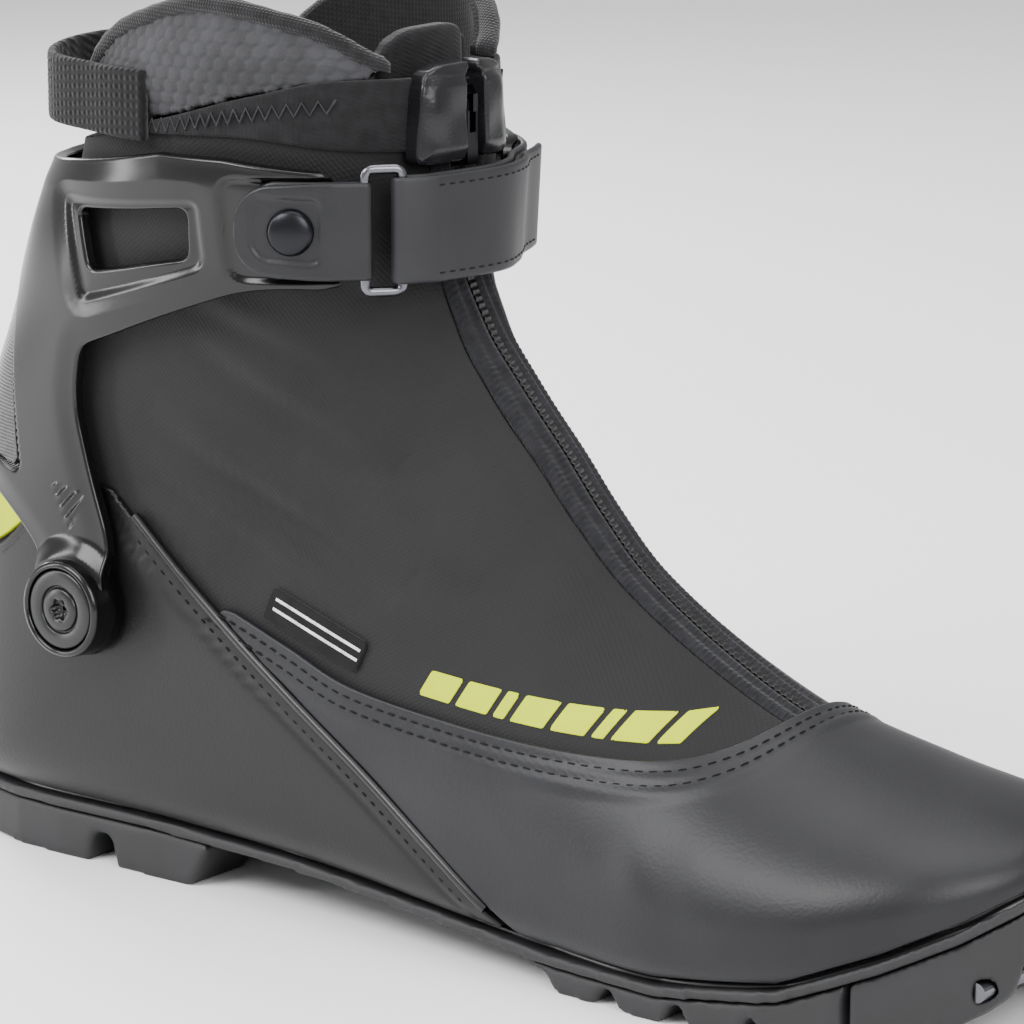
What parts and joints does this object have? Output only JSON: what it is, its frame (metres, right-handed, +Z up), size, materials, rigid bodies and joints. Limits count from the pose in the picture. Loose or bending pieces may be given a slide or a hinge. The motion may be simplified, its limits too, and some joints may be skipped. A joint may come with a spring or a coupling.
{
  "type": "cross country ski boot",
  "caption": "Right skate-style cross-country ski boot: moulded sole with toe bar, softshell upper, hinged ankle cuff, ankle strap with wire ring, front zip and padded collar.",
  "frame": {"origin": "on the ground under the middle of the boot", "axes": "+X towards the toe, +Z up, -Y towards the outer (lateral) side of the right foot"},
  "size_m": [0.3075, 0.0984, 0.21],
  "materials": {
    "rubber": "matte",
    "softshell": "dark twill",
    "vamp_leather": "satin synthetic leather",
    "heel_leather": "satin synthetic leather",
    "gloss_plastic": "gloss",
    "trim_plastic": "satin",
    "lining": "brushed",
    "stiffener": "matte",
    "heel_fabric": "melange weave",
    "yellow_print": "printed",
    "steel": "polished",
    "zip": "woven tape",
    "zip_metal": "dark",
    "foam": "foam",
    "padding": "honeycomb quilted",
    "collar_knit": "flat knit",
    "webbing": "coarse webbing",
    "strap": "coated strap",
    "tab": "embossed",
    "hook": "hook and loop",
    "label": "woven"
  },
  "bodies": {
    "root": {"sole_plate": "rubber", "heel_tread": "rubber", "forefoot_tread": "rubber", "toe_block": "rubber", "toe_bar": "steel", "lasting_board": "lining", "insole": "foam", "vamp": "vamp_leather", "heel_panel": "heel_leather", "heel_patch": "yellow_print", "heel_counter": "stiffener", "heel_fabric": "heel_fabric", "toe_puff": "stiffener", "vamp_lining": "lining", "zip_tape_lower": "zip", "zip_chain_lower": "zip", "zip_tape_middle": "zip", "zip_chain_middle": "zip", "softshell_lower_lateral": "softshell", "softshell_flex_lateral": "softshell", "softshell_lower_medial": "softshell", "softshell_flex_medial": "softshell", "liner_lower": "lining", "liner_flex": "lining", "lace_stay_lateral": "webbing", "lace_stay_medial": "webbing", "tongue_lower": "lining", "laces": "webbing", "diagonal_piping_lateral": "trim_plastic", "diagonal_piping_medial": "trim_plastic", "pivot_bolt_lateral": "trim_plastic", "pivot_bolt_medial": "trim_plastic", "featherline": "trim_plastic", "woven_label": "label"},
    "cuff": {"cuff_shell": "gloss_plastic", "spine_insert": "trim_plastic", "softshell_shaft": "softshell", "liner_shaft": "lining", "tongue_upper": "lining", "collar_band": "collar_knit", "collar_pad_lateral": "padding", "collar_pad_medial": "padding", "zip_tape_upper": "zip", "zip_chain_upper": "zip", "ankle_strap": "strap", "hook_pad": "hook", "strap_tab": "tab", "tab_rivet": "steel", "strap_rivet": "steel", "pull_loop": "webbing", "zip_garage": "trim_plastic"},
    "strap_ring": {"strap_ring": "steel"},
    "zip_slider": {"zip_slider": "zip_metal"},
    "zip_pull": {"zip_pull": "zip_metal"}
  },
  "joints": [
    {"name": "cuff_hinge", "type": "hinge", "parent": "root", "child": "cuff", "pos_m": [-0.094, 0, 0.067], "axis": [0, 1, 0], "range_deg": [-6, 15], "deforming": ["softshell_flex_lateral", "softshell_flex_medial", "liner_flex", "zip_tape_middle", "zip_chain_middle"]},
    {"name": "strap_ring_hinge", "type": "hinge", "parent": "cuff", "child": "strap_ring", "pos_m": [-0.01708, -0.03008, 0.1615], "axis": [0, 0, 1], "range_deg": [-4, 4]},
    {"name": "zip_slide", "type": "slide", "parent": "cuff", "child": "zip_slider", "axis": [0.082, 0, -0.9966], "range_m": [0, 0.011]},
    {"name": "zip_pull_hinge", "type": "hinge", "parent": "zip_slider", "child": "zip_pull", "pos_m": [-0.01075, 0, 0.1874], "axis": [0, -1, 0], "range_deg": [0, 95]}
  ]
}
